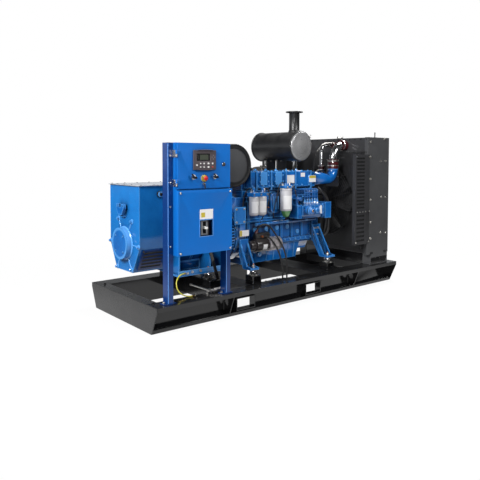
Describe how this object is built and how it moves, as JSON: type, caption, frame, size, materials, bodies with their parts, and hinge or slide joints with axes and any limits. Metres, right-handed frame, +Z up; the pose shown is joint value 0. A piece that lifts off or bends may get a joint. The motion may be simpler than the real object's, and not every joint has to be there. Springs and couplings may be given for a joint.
{
  "type": "open-frame diesel generating set",
  "caption": "Open-frame diesel generating set: in-line engine, alternator and radiator on a black steel skid, with a top silencer and a hinged control cabinet.",
  "frame": {"origin": "middle of the four anchor bolt holes, on the floor", "axes": "+X along the set towards the radiator, -Y towards the side with the control stand, +Z up"},
  "size_m": [3.22, 1.263, 1.905],
  "materials": {
    "engine_blue": "semi-gloss enamel",
    "cabinet_blue": "powder coat",
    "post_blue": "gloss enamel",
    "skid_black": "gloss enamel",
    "drum_black": "heat-resistant paint, satin",
    "radiator_grey": "satin enamel",
    "cast_iron": "as cast",
    "fins": "finned",
    "polished": "polished",
    "steel_pipe": "drawn",
    "lid_light": "gloss enamel",
    "silicone_red": "satin",
    "cable_black": "satin",
    "earth_yellow": "satin",
    "filter_white": "enamelled can",
    "battery_grey": "moulded",
    "panel_grey": "moulded",
    "breaker_grey": "moulded",
    "lever_white": "moulded",
    "stop_red": "moulded",
    "mount_steel": "zinc plated"
  },
  "bodies": {
    "stand": {"near_rail": "skid_black", "far_rail": "skid_black", "rear_end_plate": "skid_black", "front_end_plate": "skid_black", "cross_members": "skid_black", "mount_brackets": "skid_black", "rubber_mounts": "mount_steel", "battery_tray": "skid_black", "batteries": "battery_grey", "alternator_housing": "engine_blue", "alternator_lid": "lid_light", "bearing_cap": "engine_blue", "alternator_grilles": "post_blue", "coupling_guard": "engine_blue", "flywheel_housing": "engine_blue", "cylinder_block": "engine_blue", "oil_sump": "engine_blue", "timing_case": "engine_blue", "cylinder_heads": "engine_blue", "rocker_covers": "engine_blue", "intake_manifold": "engine_blue", "exhaust_manifold": "cast_iron", "turbocharger": "cast_iron", "intake_pipe": "cable_black", "injection_pump": "engine_blue", "injection_lines": "steel_pipe", "fuel_filters": "filter_white", "starter_motor": "drum_black", "belt_drive": "drum_black", "cooling_fan": "drum_black", "engine_feet": "engine_blue", "radiator_core": "fins", "radiator_frame": "radiator_grey", "header_tank": "drum_black", "fan_ring": "drum_black", "side_guards": "radiator_grey", "charge_pipes": "polished", "coolant_pipes": "polished", "rubber_hoses": "silicone_red", "silencer": "drum_black", "silencer_bracket": "drum_black", "air_cleaner": "drum_black", "air_bracket": "engine_blue", "stand_posts": "post_blue", "upper_cabinet": "cabinet_blue", "lower_cabinet": "cabinet_blue", "lower_cover": "cabinet_blue", "breaker": "breaker_grey", "starter_cables": "cable_black", "earth_lead": "earth_yellow", "elbow_shield": "radiator_grey", "bypass_hose": "cable_black", "drain_valve": "steel_pipe"},
    "door": {"cabinet_door": "cabinet_blue", "controller": "panel_grey", "switch_rings": "polished"},
    "left_switch": {"key_switch_left": "polished"},
    "right_switch": {"key_switch_right": "polished"},
    "stop": {"stop_button": "stop_red"},
    "lever": {"breaker_lever": "lever_white"}
  },
  "joints": [
    {"name": "door_hinge", "type": "hinge", "parent": "stand", "child": "door", "pos_m": [-1.43, -0.624, 1.336], "axis": [0, 0, -1], "range_deg": [0, 110]},
    {"name": "left_key", "type": "hinge", "parent": "door", "child": "left_switch", "pos_m": [-1.268, -0.622, 1.257], "axis": [0, 1, 0], "range_deg": [0, 90]},
    {"name": "right_key", "type": "hinge", "parent": "door", "child": "right_switch", "pos_m": [-1.05, -0.622, 1.257], "axis": [0, 1, 0], "range_deg": [0, 90]},
    {"name": "stop_press", "type": "slide", "parent": "door", "child": "stop", "axis": [0, 1, 0], "range_m": [0, 0.006]},
    {"name": "lever_throw", "type": "hinge", "parent": "stand", "child": "lever", "pos_m": [-1.15, -0.578, 0.837], "axis": [1, 0, 0], "range_deg": [-22, 22]}
  ]
}
